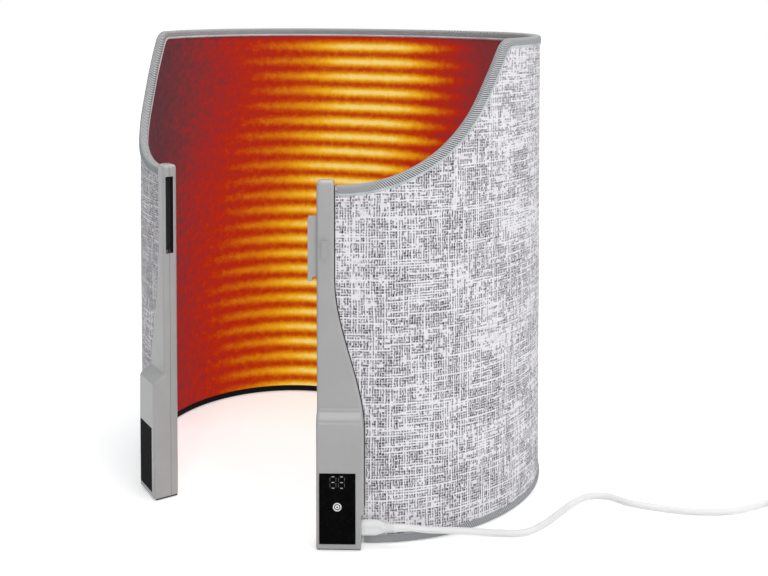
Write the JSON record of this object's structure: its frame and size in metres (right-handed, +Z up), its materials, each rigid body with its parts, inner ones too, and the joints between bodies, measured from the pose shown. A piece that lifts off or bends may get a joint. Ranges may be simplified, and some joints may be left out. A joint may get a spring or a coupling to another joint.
{
  "type": "foldable leg heater",
  "caption": "Foldable leg heater: oval fabric wrap open at the front, two moulded posts with a sliding hook and catch, control panel, power button and mains cord.",
  "frame": {"origin": "on the floor, in the middle of the box around the heater without its cord", "axes": "+Z up, the opening between the posts faces -Y, the control post is on +X"},
  "size_m": [0.8706, 0.3808, 0.5],
  "materials": {
    "cover": "slub weave, light grey with dark flecks",
    "board": "matt",
    "felt": "felt",
    "film": "printed film",
    "lining": "fine knit, dark red",
    "binding": "twill tape",
    "post": "satin",
    "rubber": "matt",
    "panel": "gloss",
    "pcb": "solder mask",
    "component": "moulded",
    "steel": "plain",
    "copper": "copper foil",
    "white": "soft satin"
  },
  "bodies": {
    "right_wing": {"outer_cover_right": "cover", "stiffener_board_right": "board", "insulation_felt_right": "felt", "heating_film_right": "film", "inner_lining_right": "lining", "top_binding_right": "binding", "bottom_binding_right": "binding", "control_post_front": "post", "control_post_back": "post", "control_post_foot": "rubber", "control_post_screw_1": "steel", "control_post_screw_2": "steel", "control_post_screw_3": "steel", "control_panel": "panel", "display_module": "component", "control_board": "pcb", "tact_switch": "component", "power_relay": "component", "thermal_cutout": "steel", "film_lead": "copper", "power_inlet": "component", "cord_connector": "white", "cord_relief": "white", "cord_lead": "white", "cord_coil": "white", "cord_tail": "white", "mains_plug": "white"},
    "back_panel": {"outer_cover_back": "cover", "stiffener_board_back": "board", "insulation_felt_back": "felt", "heating_film_back": "film", "inner_lining_back": "lining", "top_binding_back": "binding", "bottom_binding_back": "binding"},
    "left_wing": {"outer_cover_left": "cover", "stiffener_board_left": "board", "insulation_felt_left": "felt", "heating_film_left": "film", "inner_lining_left": "lining", "top_binding_left": "binding", "bottom_binding_left": "binding", "catch_post_front": "post", "catch_post_back": "post", "catch_post_foot": "rubber", "catch_post_screw_1": "steel", "catch_post_screw_2": "steel", "catch_post_screw_3": "steel", "blank_panel": "panel", "catch_plate": "steel"},
    "latch": {"latch_slider": "post", "latch_thumb_pad": "post"},
    "button": {"power_button": "panel"}
  },
  "joints": [
    {"name": "right_fold", "type": "hinge", "parent": "right_wing", "child": "back_panel", "pos_m": [0.21312, 0.10782, 0], "axis": [0, 0, 1], "range_deg": [-45, 21]},
    {"name": "left_fold", "type": "hinge", "parent": "back_panel", "child": "left_wing", "pos_m": [-0.21312, 0.10782, 0], "axis": [0, 0, 1], "range_deg": [-45, 70]},
    {"name": "latch_slide", "type": "slide", "parent": "right_wing", "child": "latch", "axis": [0, 0, 1], "range_m": [0, 0.0065]},
    {"name": "power_press", "type": "slide", "parent": "right_wing", "child": "button", "axis": [-0.4726, 0.8813, 0], "range_m": [0, 0.0006], "stiffness_N_per_m": 800}
  ]
}
